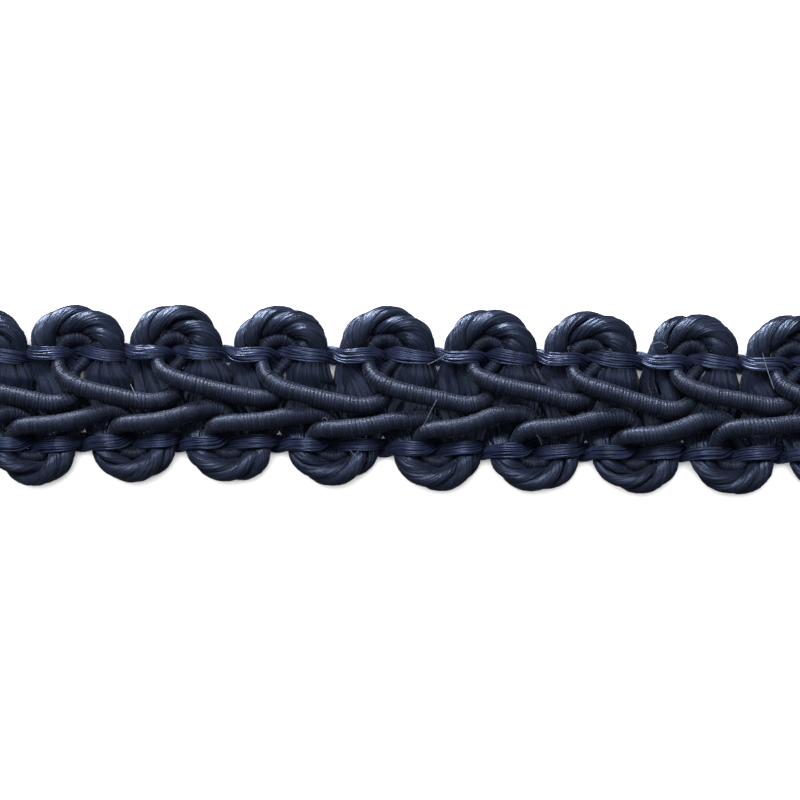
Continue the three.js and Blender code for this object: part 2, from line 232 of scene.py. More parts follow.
# Stray fibres seen on the braid, each through its points in millimetres
STRAY_RADIUS = 0.017
STRAY_FIBRES = (
    ((1.70, -2.55, 3.30), (2.30, -1.40, 3.45), (2.70, -0.60, 3.42), (3.05, 0.05, 3.35)),
    ((2.30, 2.95, 2.05), (3.00, 3.30, 1.95), (3.90, 3.80, 1.75)),
    ((-4.20, -4.10, 2.30), (-3.80, -4.60, 2.35), (-3.45, -5.10, 2.20)),
    ((-3.40, -4.20, 2.30), (-3.80, -4.60, 2.45), (-4.05, -5.00, 2.25)),
    ((-6.45, -1.62, 3.40), (-6.25, -1.45, 3.52), (-6.00, -1.60, 3.50), (-6.05, -1.90, 3.40)),
    ((10.80, -2.50, 3.35), (11.40, -3.00, 3.40), (11.75, -3.75, 2.90)),
    ((30.10, 4.10, 2.00), (30.45, 2.60, 2.40), (30.90, 0.90, 3.20)),
    ((20.80, 4.60, 2.10), (21.60, 4.80, 2.25), (22.25, 4.45, 2.10), (21.70, 4.25, 2.05)),
    ((-22.30, 1.30, 2.90), (-21.90, 0.60, 3.40), (-21.60, -0.10, 3.42)),
    ((-13.60, 7.05, 1.60), (-12.80, 7.30, 1.45), (-12.10, 7.20, 1.30)),
)
STRAY_SIDES = 5
STRAY_STEP = 0.08

# The rope: three plies laid together, one turn of the lay in PLY_TURN millimetres. The lay slows and the
# flutes stand up where the rope is flattened to less than PLY_FULL. Places and depths across a ply are
# shares of the rope's half width and thickness
PLIES = 3
PLY_TURN = 8.2
PLY_FULL = 1.0
PLY_SLOW = 0.25
FLAT_STAND = 2.6
PLY_SIDES = 48
PLY_STEP = 0.24
PLY_SPREAD = np.radians(61)
PLY_MIDDLE = 0.52
PLY_DEPTH = 0.53
PLY_LEAN = 0.05
LAY_WANDER = (0.04, 70)
SPREAD_WANDER = (0.06, 60)
DEPTH_WANDER = (0.06, 50)

# Flutes of a ply: waves round it and their height, with how the waves drift and swell along it
FLUTES = ((7, 0.014), (13, 0.016), (22, 0.018), (31, 0.017), (41, 0.012))
FLUTE_DRIFT = 0.05
DRIFT_WANDER = (1.0, 40)
SWELL_WANDER = (0.5, 30)

# Loose filaments on a ply: their places round it reach LOOSE_REACH radians each way from its middle
LOOSE_PER_PLY = 9
LOOSE_RADIUS = 0.035
LOOSE_SIDES = 4
LOOSE_SKIP = 2
LOOSE_REACH = 1.25
LOOSE_SCATTER = 0.06
LOOSE_WANDER = (0.16, 30)
LOOSE_RISE = 0.005
RISE_WANDER = (0.018, 14)

# The warp bundles: a flat core, and layers of filament round it. Each layer has its number of filaments,
# its share of the width, its height as a share of half the thickness, and its share of the crown
BUNDLE_STEP = 0.28
CORE_SIDES = 10
CORE_WIDTH = 0.86
CORE_SHARE = 0.45
LAYERS = ((10, 0.96, 0.45, 1), (4, 0.88, -0.45, 0))
CROWN = 0.10
CROWN_SINK = 0.02
FILAMENT_SIDES = 5
FILAMENT_RADIUS = 0.074
FILAMENT_WIDER = 1.15
PLACE_WANDER = (0.10, 22)
LEVEL_WANDER = (0.03, 8)
THICK_WANDER = (0.15, 12)

# Every strand's UV map
UV_NAME = "along_and_round"

# Finish of the wrapped thread: streaks on each turn, and the factor and lift of each share of its tone,
# which are the place across the turn, a painted shade darker in the grooves between turns, the turn's own
# random tone, and the streaks. Their depth is in metres
STREAKS_PER_TURN = 7.0
STREAKS_ROUND = 14.0
# Painted shade: the thread's colour is made darker towards the grooves between turns of the wrap
GROOVE_PAINTED_SHADE = (3.2, 0.2)
TURN_SHADE = (0.8, 0.4)
STREAK_SHADE = (2.4, -0.5)
THREAD_RELIEF = 0.00005

# Finish of floss, filament and fuzz: patchiness, where the shades start and end, how far the roughness
# strays, and the depth of the streaks in metres
PATCHES_PER_METRE = 420.0
PATCH_SHARE = 0.35
SHADE_STOPS = (0.42, 0.95)
GLOSS_RANGE = (-0.08, 0.12)
FIBRE_RELIEF = 0.00006

# Lamps: place and size in metres, and power in watts. The keys stand at the photograph's top left and
# light the braid alone, the soft one with no reflection of its own. The floor lamp lights the floor alone
WORLD_STRENGTH = 0.13
OVERHEAD = ((0.03, 0.0, 0.5), (0.5, 0.5), 0.8)
LOW_KEY = ((-0.17, 0.46, 0.055), (0.35, 0.08), 9.0)
HIGH_KEY = ((-0.12, 0.30, 0.40), (0.30, 0.20), 2.2)
SOFT_KEY = ((-0.12, 0.30, 0.42), (0.30, 0.20), 4.0)
FLOOR_LAMP = ((-0.1, 0.25, 0.5), (0.8, 0.8), 12.0)

# The floor in millimetres, just below the lowest filament
FLOOR_REACH = 600
FLOOR_LEVEL = -0.19

# The photograph's frame: 800 picture elements at 12 to the millimetre, taken to hold 1.6 mm up, about the
# middle height of what shows. Lens and sensor are in millimetres, and the clipping distance in metres
VIEW_WIDTH = 800 / 12
VIEW_LEVEL = 1.6
LENS = 100
SENSOR = 36
CLIP_START = 0.005


def rows_through(eyes, route, size):
    """Route rows set at every eye: x widened by the scallop's width, y beyond the eye by its height."""
    eyes = np.array(eyes)[:, None, :]
    rows = np.repeat(np.array(route, float)[None], len(eyes), axis=0)
    beyond = rows[:, :, 1] * size["outward"] > 0
    rows[:, :, 0] = eyes[:, :, 0] + rows[:, :, 0] * eyes[:, :, 2] / size["wide"]
    rows[:, :, 1] = eyes[:, :, 1] + rows[:, :, 1] * np.where(beyond, eyes[:, :, 3] / size["high"], 1.0)
    return rows.reshape(-1, rows.shape[2])


def spline(rows, fine=24):
    """Catmull-Rom curve: each span blends four rows by the cubic whose ends have half the chords' slope."""
    padded = np.vstack([rows[:1], rows, rows[-1:]])
    a, b, c, d = padded[:-3, None], padded[1:-2, None], padded[2:-1, None], padded[3:, None]
    t = (np.arange(fine) / fine)[None, :, None]
    curve = b + 0.5 * t * (c - a + t * (2 * a - 5 * b + 4 * c - d + t * (3 * (b - c) + d - a)))
    return np.vstack([curve.reshape(-1, rows.shape[1]), rows[-1:]])


def eased(rows, fine=24):
    """Each span goes from row to row along x evenly and in the rest by t squared times (3 - 2t)."""
    a, b = rows[:-1, None], rows[1:, None]
    t = (np.arange(fine) / fine)[None, :, None]
    curve = a + (b - a) * t * t * (3 - 2 * t)
    curve[:, :, 0] = (a + (b - a) * t)[:, :, 0]
    return np.vstack([curve.reshape(-1, rows.shape[1]), rows[-1:]])


def run_of(points):
    """Length along a path up to each of its points."""
    return np.r_[0.0, np.cumsum(np.linalg.norm(np.diff(points[:, :3], axis=0), axis=1))]


def even(curve, step):
    """The curve read off at even steps along its length."""
    run = run_of(curve)
    places = np.linspace(0.0, run[-1], int(round(run[-1] / step)) + 1)
    return np.stack([np.interp(places, run, column) for column in curve.T], axis=1)


def strand(curve, flat=False):
    """Beads of one strand inside the cut: place, home, half sizes, and which lie on the surface."""
    beads = even(curve, BEAD_STEP)
    beads = beads[np.abs(beads[:, 0]) < CUT]
    resting = flat & (beads[:, 2] < UNDER + LEVEL_WITHIN)
    beads[resting, 2] = UNDER
    return {"at": beads[:, :3].copy(), "half": beads[:, 3:5].copy(), "flat": flat, "fixed": resting}


def raised(rows, eyes, before):
    """Adds to y a row's last two columns times its tail's two lifts. The first rows end the tail before."""
    lifts = np.array(eyes)[:, 6:8]
    earlier = np.vstack([lifts[:1], lifts[:-1]])
    count = len(rows) // len(eyes)
    first = (np.arange(count) < before)[None, :, None]
    taken = np.where(first, earlier[:, None], lifts[:, None]).reshape(-1, 2)
    rows[:, 1] += (rows[:, 4:6] * taken).sum(1)
    return rows


def gimp_strand(eyes, lead, route, tail, size):
    """A row's cord: its lead before the first eye, its route through every eye, its tail after the last."""
    parts = [rows_through(eyes[:1], lead, size)] if lead else []
    parts.append(raised(rows_through(eyes, route, size), eyes, ROWS_OF_TAIL_BEFORE))
    if tail:
        parts.append(raised(rows_through(eyes[-1:], tail, size), eyes[-1:], 0))
    rows = np.vstack(parts)
    return strand(spline(rows[:, [0, 1, 2, 3, 3]]))


def rope_rows(eyes, route, size):
    """Route rows of the rope, the legs' x and half width multiplied by how far the eye spreads them."""
    rows = rows_through(eyes, route, size).reshape(len(eyes), -1, 5)
    eyes = np.array(eyes)[:, None]
    inward = (eyes[:, :, 1] - rows[:, :, 1]) * size["outward"]
    leg = (inward > LEG_FROM) & (inward < LEG_TO)
    own = np.where(rows[:, :, 0] < eyes[:, :, 0], eyes[:, :, 4], eyes[:, :, 5])
    spread = np.where(leg, own, 1.0)
    rows[:, :, 0] = eyes[:, :, 0] + (rows[:, :, 0] - eyes[:, :, 0]) * spread
    rows[:, :, 3] *= spread
    return rows


def rope_strand():
    """The rope goes through an upper scallop and a lower one by turns."""
    upper = rope_rows(UPPER_EYES, UPPER_ROPE, UPPER_SIZE)
    lower = rope_rows(LOWER_EYES, LOWER_ROPE, LOWER_SIZE)
    return strand(spline(np.concatenate([upper, lower], axis=1).reshape(-1, 5)))


def warp_strand(eyes, route, size):
    """A bundle through every eye of a row, closed by one more crossing and led on level to both cuts."""
    route = np.array(route) * (1, size["outward"], 1, 1)
    rows = rows_through(eyes, route, size)
    rows[:, 2] = UNDER + (rows[:, 2] - UNDER) * size["crest"]
    start = rows[0].copy()
    start[0] = -CUT
    close = rows[0].copy()
    close[0] = rows[-1, 0] + WARP_LEAD
    close[1] = eyes[-1][1] + route[0][1]
    end = close.copy()
    end[0] = CUT
    rows = np.vstack([start, rows, close, end])
    rows = np.hstack([rows, np.full((len(rows), 1), BUNDLE_THICK)])
    return strand(eased(rows), flat=True)


def framing(points):
    """Unit vectors along a path, level across it, and square to both, from central differences."""
    along = np.gradient(points, axis=0)
    along /= np.linalg.norm(along, axis=1, keepdims=True)
    side = np.stack([along[:, 1], -along[:, 0], np.zeros(len(along))], axis=1)
    side /= np.linalg.norm(side, axis=1, keepdims=True)
    return along, side, np.cross(side, along)


def near_pairs(at, owner, order, fixed):
    """Pairs of beads that start near each other, on one strand only well apart along it."""
    pairs = []
    skip = SELF_REACH / BEAD_STEP
    for i in range(0, len(at), BLOCK):
        block = slice(i, i + BLOCK)
        gap = np.linalg.norm(at[block, None] - at[None], axis=2)
        one, two = np.nonzero(gap < NEAR)
        one += i
        keep = (one < two) & ((owner[one] != owner[two]) | (order[two] - order[one] >= skip))
        keep &= ~(fixed[one] & fixed[two])
        pairs.append(np.stack([one[keep], two[keep]]))
    return np.hstack(pairs)


def reach(side, top, half, flat, way):
    """Support of each bead's section along a way: an ellipse's, or a bar's for the flat bundles."""
    across = np.abs((side * way).sum(1)) * half[:, 0]
    thick = np.abs((top * way).sum(1)) * half[:, 1]
    return np.where(flat, across + thick, np.hypot(across, thick))


def settle(strands):
    """Pushes near beads apart until sections are clear, evens each strand's shifts, draws them home."""
    at = np.vstack([s["at"] for s in strands])
    home = at.copy()
    half = np.vstack([s["half"] for s in strands])
    sizes = [len(s["at"]) for s in strands]
    owner = np.repeat(np.arange(len(strands)), sizes)
    order = np.concatenate([np.arange(n) for n in sizes])
    flat = np.repeat([s["flat"] for s in strands], sizes)
    fixed = np.concatenate([s["fixed"] for s in strands])
    ends = np.cumsum([0] + sizes)
    one, two = near_pairs(at, owner, order, fixed)
    free_one, free_two = ~fixed[one], ~fixed[two]
    share = np.where(fixed[one] | fixed[two], 1.0, 0.5)
    for _ in range(ROUNDS):
        side, top = np.empty_like(at), np.empty_like(at)
        for a, b in zip(ends[:-1], ends[1:]):
            _, side[a:b], top[a:b] = framing(at[a:b])
        way = at[one] - at[two]
        apart = np.linalg.norm(way, axis=1)
        way /= apart[:, None]
        needed = reach(side[one], top[one], half[one], flat[one], way)
        needed += reach(side[two], top[two], half[two], flat[two], way)
        short = np.maximum(needed - PRESSED_IN - apart, 0.0)
        push = way * (short * share)[:, None]
        hits = (short > 0).astype(float)
        total = np.zeros_like(at)
        count = np.bincount(one, hits, len(at)) + np.bincount(two, hits, len(at))
        for axis in range(3):
            total[:, axis] += np.bincount(one, push[:, axis] * free_one, len(at))
            total[:, axis] -= np.bincount(two, push[:, axis] * free_two, len(at))
        at += total / np.maximum(1.0, CROWDING * count)[:, None]
        shift = at - home
        for a, b in zip(ends[:-1], ends[1:]):
            s = shift[a:b]
            before = np.vstack([s[:1], s[:-1]])
            after = np.vstack([s[1:], s[-1:]])
            s += SMOOTHING * (0.5 * (before + after) - s)
        shift *= 1 - HOME_PULL
        at = np.where(fixed[:, None], home, home + shift)
        at[:, 2] = np.maximum(at[:, 2], half[:, 1])
    for s, a, b in zip(strands, ends[:-1], ends[1:]):
        s["at"] = at[a:b]


def smooth_path(one, step):
    """A strand's settled beads as a smooth path of even steps: columns x, y, z, across, thick.

    Twice, each bead becomes half itself and a quarter of each neighbour.
    """
    beads = np.hstack([one["at"], one["half"]])
    for _ in range(2):
        inner = 0.25 * beads[:-2] + 0.5 * beads[1:-1] + 0.25 * beads[2:]
        beads = np.vstack([beads[:1], inner, beads[-1:]])
    return even(spline(beads, 10), step)


def tube_arrays(points, run):
    """Arrays of a closed tube from a grid of points (rings by sides), with a fan of triangles at each end.

    The UV holds the run along the strand in millimetres and the turn round it from 0 to 1.
    """
    rings, sides, _ = points.shape
    middles = np.stack([points[0].mean(0), points[-1].mean(0)])
    vertices = np.vstack([points.reshape(-1, 3), middles])
    i, j = np.meshgrid(np.arange(rings - 1), np.arange(sides), indexing="ij")
    nxt = (j + 1) % sides
    quads = np.stack([i * sides + j, (i + 1) * sides + j, (i + 1) * sides + nxt, i * sides + nxt], axis=-1)
    k = np.arange(sides)
    far = (k + 1) % sides
    base = (rings - 1) * sides
    first = np.stack([np.full(sides, rings * sides), k, far], axis=1)
    last = np.stack([np.full(sides, rings * sides + 1), base + far, base + k], axis=1)
    loops = np.concatenate([quads.reshape(-1), first.reshape(-1), last.reshape(-1)])
    totals = np.concatenate([np.full((rings - 1) * sides, 4), np.full(2 * sides, 3)])
    turn = np.stack([j, j, j + 1, j + 1], axis=-1).reshape(-1) / sides
    length = np.stack([run[i], run[i + 1], run[i + 1], run[i]], axis=-1).reshape(-1)
    cap_turn = np.tile(np.repeat(k / sides, 3), 2)
    cap_run = np.repeat([run[0], run[-1]], 3 * sides)
    uv = np.stack([np.r_[length, cap_run], np.r_[turn, cap_turn]], axis=1)
    return vertices, loops, totals, uv


def piece_of(name, tubes, material):
    """One object from the arrays of one or more closed tubes, with smooth faces."""
    offsets = np.cumsum([0] + [len(t[0]) for t in tubes[:-1]])
    vertices = np.vstack([t[0] for t in tubes]) * MM
    loops = np.concatenate([t[1] + offset for t, offset in zip(tubes, offsets)])
    totals = np.concatenate([t[2] for t in tubes])
    uv = np.vstack([t[3] for t in tubes])
    mesh = bpy.data.meshes.new(name)
    mesh.vertices.add(len(vertices))
    mesh.vertices.foreach_set("co", vertices.astype(np.float32).ravel())
    mesh.loops.add(len(loops))
    mesh.loops.foreach_set("vertex_index", loops.astype(np.int32))
    mesh.polygons.add(len(totals))
    mesh.polygons.foreach_set("loop_start", np.r_[0, np.cumsum(totals)[:-1]].astype(np.int32))
    mesh.polygons.foreach_set("use_smooth", np.ones(len(totals), bool))
    layer = mesh.uv_layers.new(name=UV_NAME)
    layer.data.foreach_set("uv", uv.astype(np.float32).ravel())
    mesh.update(calc_edges=True)
    mesh.validate()
    mesh.materials.append(material)
    piece = bpy.data.objects.new(name, mesh)
    bpy.context.scene.collection.objects.link(piece)
    return piece


def wander(count, rng, spread, rings):
    """Smooth random values of a spread about 0: white noise averaged over a raised cosine of some rings."""
    window = np.hanning(rings + 2)[1:-1]
    raw = rng.standard_normal(count + rings)
    smooth = np.convolve(raw, window / np.linalg.norm(window), mode="valid")
    return spread * smooth[:count]


def sweep(path, across, thick):
    """Grid of points: the path plus offsets across it along the level side, and along its upper way."""
    _, side, top = framing(path[:, :3])
    return path[:, None, :3] + side[:, None] * across[..., None] + top[:, None] * thick[..., None]


def wrapped_cord(name, one, material, rng):
    """Cord whose radius rises in a rounded ridge for each turn of the wrap thread.

    Ridge height is the root of 1 less (2f - 1) squared, f being the share of a turn passed, which
    leans by one pitch round the cord. Each turn has a height of its own, and the pitch and radius
    wander a little. The UV counts turns along the cord and round it.
    """
    step = WRAP_PITCH / RINGS_PER_WRAP
    path = smooth_path(one, step)
    count = len(path)
    angle = 2 * np.pi * np.arange(WRAP_SIDES) / WRAP_SIDES
    turns = np.cumsum(1 / RINGS_PER_WRAP * (1 + wander(count, rng, *PITCH_WANDER)))
    place = turns[:, None] + angle[None] / (2 * np.pi)
    share = place % 1.0
    ridge = np.sqrt(np.clip(1 - (2 * share - 1) ** 2, 0, 1))
    height = WRAP_DEPTH * rng.uniform(*TURN_HEIGHTS, int(place.max()) + 1)[place.astype(int)]
    radius = path[:, 3:4] * (1 + wander(count, rng, *RADIUS_WANDER))[:, None]
    radius = radius - WRAP_DEPTH * WRAP_INSET + height * ridge
    points = sweep(path, radius * np.cos(angle), radius * np.sin(angle))
    return piece_of(name, [tube_arrays(points, turns)], material)


def spikes(roots, ways, radius):
    """Arrays of three-sided spikes: a triangle square to the way at each root, and a point at its end.

    The triangle is set by the cross product of the way and X, or Z where the way is nearly level.
    """
    count = len(roots)
    helper = np.where(np.abs(ways[:, 2:]) > LEVEL_WAY, [[1.0, 0.0, 0.0]], [[0.0, 0.0, 1.0]])
    one = np.cross(ways, helper)
    one /= np.linalg.norm(one, axis=1, keepdims=True)
    two = np.cross(ways, one)
    two /= np.linalg.norm(two, axis=1, keepdims=True)
    corner = 2 * np.pi * np.arange(3) / 3
    ring = one[:, None] * np.cos(corner)[None, :, None] + two[:, None] * np.sin(corner)[None, :, None]
    vertices = np.concatenate([roots[:, None] + radius * ring, (roots + ways)[:, None]], axis=1)
    faces = np.array([(0, 1, 3), (1, 2, 3), (2, 0, 3), (2, 1, 0)])
    loops = (4 * np.arange(count)[:, None, None] + faces[None]).reshape(-1)
    uv = np.repeat(np.stack([roots[:, 0], np.full(count, 0.5)], axis=1), 12, axis=0)
    return vertices.reshape(-1, 3), loops, np.full(4 * count, 3), uv


def cord_fuzz(name, one, material, rng):
    """Spikes scattered evenly over the cord's surface, each leaning out and along at random."""
    path = smooth_path(one, WRAP_PITCH / 2)
    count = int(run_of(path)[-1] * FUZZ_PER_MM)
    place = rng.integers(0, len(path), count)
    angle = rng.uniform(0, 2 * np.pi, count)[:, None]
    along, side, top = (v[place] for v in framing(path[:, :3]))
    outward = side * np.cos(angle) + top * np.sin(angle)
    around = top * np.cos(angle) - side * np.sin(angle)
    roots = path[place, :3] + outward * (path[place, 3:4] - FUZZ_SINK * WRAP_DEPTH)
    roots += along * rng.uniform(-FUZZ_SHIFT, FUZZ_SHIFT, (count, 1))
    ways = outward * rng.uniform(*FUZZ_OUT, (count, 1)) + around * rng.normal(0, FUZZ_ROUND, (count, 1))
    ways += along * rng.normal(0, FUZZ_ALONG, (count, 1))
    ways *= rng.uniform(*FUZZ_LENGTH, (count, 1)) / np.linalg.norm(ways, axis=1, keepdims=True)
    return piece_of(name, [spikes(roots, ways, FUZZ_RADIUS)], material)


def stray_fibres(material):
    """Thin round tubes along smooth curves through the points of each fibre."""
    angle = 2 * np.pi * np.arange(STRAY_SIDES) / STRAY_SIDES
    tubes = []
    for points in STRAY_FIBRES:
        path = even(spline(np.array(points) - (*MIDDLE, 0)), STRAY_STEP)
        offsets = np.repeat(STRAY_RADIUS * np.cos(angle)[None], len(path), axis=0)
        rises = np.repeat(STRAY_RADIUS * np.sin(angle)[None], len(path), axis=0)
        tubes.append(tube_arrays(sweep(path, offsets, rises), run_of(path)))
    return piece_of("stray_fibres", tubes, material)


def lobe(a, spread, depth):
    """A ply's outline in the rope's own polar coordinates: turn from the ply's middle, distance out.

    The turn is the spread times the sine of a. The distance is a mean plus the depth times the cosine
    of a, leaning up to one side.
    """
    return spread * np.sin(a), PLY_MIDDLE + depth * np.cos(a) + PLY_LEAN * np.sin(a)


def fluted_ply(path, turn, spread, depth, stand, rng):
    """A ply's outline carried along the rope, its distance out raised by a sum of waves in a.

    The phase of each wave drifts along the ply and its height swells, so filaments merge and part. The
    outline's points stand closest about its outer middle: a is a turn less half its sine.
    """
    count = len(path)
    even_turn = 2 * np.pi * np.arange(PLY_SIDES) / PLY_SIDES
    a = (even_turn - 0.5 * np.sin(even_turn))[None]
    about, out = lobe(a, spread, depth)
    for waves, height in FLUTES:
        drift = FLUTE_DRIFT * np.cumsum(wander(count, rng, *DRIFT_WANDER)) + rng.uniform(0, 2 * np.pi)
        swell = 1 + wander(count, rng, *SWELL_WANDER)
        out = out + height * (swell * stand)[:, None] * np.cos(waves * a + drift[:, None])
    across = path[:, 3:4] * out * np.cos(turn + about)
    thick = path[:, 4:5] * out * np.sin(turn + about)
    return tube_arrays(sweep(path, across, thick), run_of(path))


def loose_filament(path, place, turn, spread, depth, stand, rng):
    """A thin tube that keeps to a ply's outline, a little outside it, at an a that wanders."""
    count = len(path)
    corner = 2 * np.pi * np.arange(LOOSE_SIDES) / LOOSE_SIDES
    about, out = lobe((place + wander(count, rng, *LOOSE_WANDER))[:, None], spread, depth)
    out = out + (stand * (LOOSE_RISE + wander(count, rng, *RISE_WANDER)))[:, None]
    across = path[:, 3:4] * out * np.cos(turn + about) + LOOSE_RADIUS * np.cos(corner)
    thick = path[:, 4:5] * out * np.sin(turn + about) + LOOSE_RADIUS * np.sin(corner)
    keep = slice(None, None, LOOSE_SKIP)
    return tube_arrays(sweep(path, across, thick)[keep], run_of(path)[keep])


def rope_plies(path, material, rng):
    """Three plies carried round the rope's middle in a helix, each with its loose filaments.

    The helix turns once in PLY_TURN, and slower by the square of the thickness where the rope is flat.
    """
    count = len(path)
    slowed = np.clip(path[:, 4] / PLY_FULL, PLY_SLOW, 1.0) ** 2
    laid = np.cumsum(np.gradient(run_of(path)) * slowed) / PLY_TURN
    stand = np.clip(PLY_FULL / path[:, 4], 1.0, FLAT_STAND)
    pieces = []
    for k in range(PLIES):
        turn = 2 * np.pi * (laid + wander(count, rng, *LAY_WANDER) + k / PLIES)[:, None]
        spread = (PLY_SPREAD * (1 + wander(count, rng, *SPREAD_WANDER)))[:, None]
        depth = (PLY_DEPTH * (1 + wander(count, rng, *DEPTH_WANDER)))[:, None]
        tubes = [fluted_ply(path, turn, spread, depth, stand, rng)]
        places = np.linspace(-LOOSE_REACH, LOOSE_REACH, LOOSE_PER_PLY)
        for place in places + LOOSE_SCATTER * rng.standard_normal(LOOSE_PER_PLY):
            tubes.append(loose_filament(path, place, turn, spread, depth, stand, rng))
        pieces.append(piece_of(f"floss_ply_{k + 1}", tubes, material))
    return pieces


def warp_bundle(name, one, material, rng):
    """A flat core with filaments side by side in layers, each a thin round tube that wanders in its place.

    A crowned layer rises by CROWN times 1 less the square of the place across, from -1 to 1.
    """
    path = smooth_path(one, BUNDLE_STEP)
    count = len(path)
    run = run_of(path)
    wide = 2 * np.pi * np.arange(CORE_SIDES) / CORE_SIDES
    across = path[:, 3:4] * CORE_WIDTH * np.cos(wide)
    thick = path[:, 4:5] * CORE_SHARE * np.sin(wide)
    tubes = [tube_arrays(sweep(path, across, thick), run)]
    angle = 2 * np.pi * np.arange(FILAMENT_SIDES) / FILAMENT_SIDES
    for number, width, height, crowned in LAYERS:
        for middle in (2 * (np.arange(number) + 0.5) / number - 1) * width:
            place = middle + wander(count, rng, *PLACE_WANDER)
            crown = CROWN * (1 - place ** 2) - CROWN_SINK
            level = path[:, 4] * height + crown * crowned + wander(count, rng, *LEVEL_WANDER)
            radius = FILAMENT_RADIUS * (1 + wander(count, rng, *THICK_WANDER))[:, None]
            across = (path[:, 3] * place)[:, None] + radius * np.cos(angle) * FILAMENT_WIDER
            thick = level[:, None] + radius * np.sin(angle)
            tubes.append(tube_arrays(sweep(path, across, thick), run))
    return piece_of(name, tubes, material)


def shader(name, base, roughness, sheen=0.0, sheen_roughness=0.5, specular=0.5, anisotropy=0.0):
    """A Principled material with its constants on the shader's own sockets."""
    material = bpy.data.materials.new(name)
    material.use_nodes = True
    nodes = material.node_tree.nodes
    bsdf = nodes["Principled BSDF"]
    bsdf.inputs["Base Color"].default_value = (*base, 1)
    bsdf.inputs["Roughness"].default_value = roughness
    bsdf.inputs["Sheen Weight"].default_value = sheen
    bsdf.inputs["Sheen Roughness"].default_value = sheen_roughness
    bsdf.inputs["Specular IOR Level"].default_value = specular
    bsdf.inputs["Anisotropic"].default_value = anisotropy
    return material, nodes, material.node_tree.links, bsdf


def node(nodes, kind, inputs=(), **settings):
    """A new node of a kind, with its settings and the values of its inputs."""
    made = nodes.new(kind)
    for key, value in settings.items():
        setattr(made, key, value)
    for key, value in dict(inputs).items():
        made.inputs[key].default_value = value
    return made


def maths_node(nodes, links, operation, *values):
    """Output of a Math node whose inputs are numbers or the outputs of other nodes."""
    made = node(nodes, "ShaderNodeMath", operation=operation)
    for socket, value in zip(made.inputs, values):
        if isinstance(value, float):
            socket.default_value = value
        else:
            links.new(value, socket)
    return made.outputs[0]


def raise_grain(nodes, links, bsdf, grain, strength, depth):
    """Bump of a depth in metres from a grain's pattern."""
    relief = node(nodes, "ShaderNodeBump", {"Strength": strength, "Distance": depth})
    links.new(grain.outputs["Fac"], relief.inputs["Height"])
    links.new(relief.outputs["Normal"], bsdf.inputs["Normal"])


def wrap_finish():
    """Wrapped thread: each turn has its own random tone, a painted shade darker between turns, and fine
    streaks along it.

    The turn is the whole part of U plus V of the UV map, and the place across the thread the rest. The
    shade is the place times 1 less the place, a painted shade darkest in the grooves between turns, times
    the turn's own random tone, times the streaks, each with its factor and lift.
    """
    dark = (0.0020, 0.0024, 0.0044)
    light = (0.012, 0.015, 0.030)
    material, nodes, links, bsdf = shader(
        "wrapped navy thread", dark, roughness=0.33, sheen=0.05, sheen_roughness=0.35, specular=0.34)
    bsdf.inputs["Sheen Tint"].default_value = (0.70, 0.80, 1.0, 1)
    bsdf.inputs["Specular Tint"].default_value = (0.54, 0.68, 1.0, 1)
    maths = partial(maths_node, nodes, links)
    uv = node(nodes, "ShaderNodeUVMap", uv_map=UV_NAME)
    parts = node(nodes, "ShaderNodeSeparateXYZ")
    links.new(uv.outputs["UV"], parts.inputs["Vector"])
    turn = maths("ADD", parts.outputs["X"], parts.outputs["Y"])
    own = node(nodes, "ShaderNodeTexWhiteNoise", noise_dimensions="1D")
    links.new(maths("FLOOR", turn), own.inputs["W"])
    across = maths("FRACT", turn)
    middle = maths("MULTIPLY", across, maths("SUBTRACT", 1.0, across))
    place = node(nodes, "ShaderNodeCombineXYZ")
    links.new(maths("MULTIPLY", turn, STREAKS_PER_TURN), place.inputs["X"])
    links.new(maths("MULTIPLY", parts.outputs["Y"], STREAKS_ROUND), place.inputs["Y"])
    streak = node(nodes, "ShaderNodeTexNoise", {"Scale": 1.0, "Detail": 3.0, "Roughness": 0.65})
    links.new(place.outputs["Vector"], streak.inputs["Vector"])
    # Painted shade: darkest where the place across the turn nears 0 or 1, in the grooves between turns
    lit = maths("MULTIPLY_ADD", middle, *GROOVE_PAINTED_SHADE)
    painted_shade_and_tone = maths("MULTIPLY", lit, maths("MULTIPLY_ADD", own.outputs["Value"], *TURN_SHADE))
    level = maths("MULTIPLY", painted_shade_and_tone, maths("MULTIPLY_ADD", streak.outputs["Fac"], *STREAK_SHADE))
    mix = node(nodes, "ShaderNodeMix", data_type="RGBA")
    links.new(level, mix.inputs["Factor"])
    one, two = (socket for socket in mix.inputs if socket.type == "RGBA")
    one.default_value = (*dark, 1)
    two.default_value = (*light, 1)
    links.new(next(socket for socket in mix.outputs if socket.type == "RGBA"), bsdf.inputs["Base Color"])
    raise_grain(nodes, links, bsdf, streak, 1.0, THREAD_RELIEF)
    return material


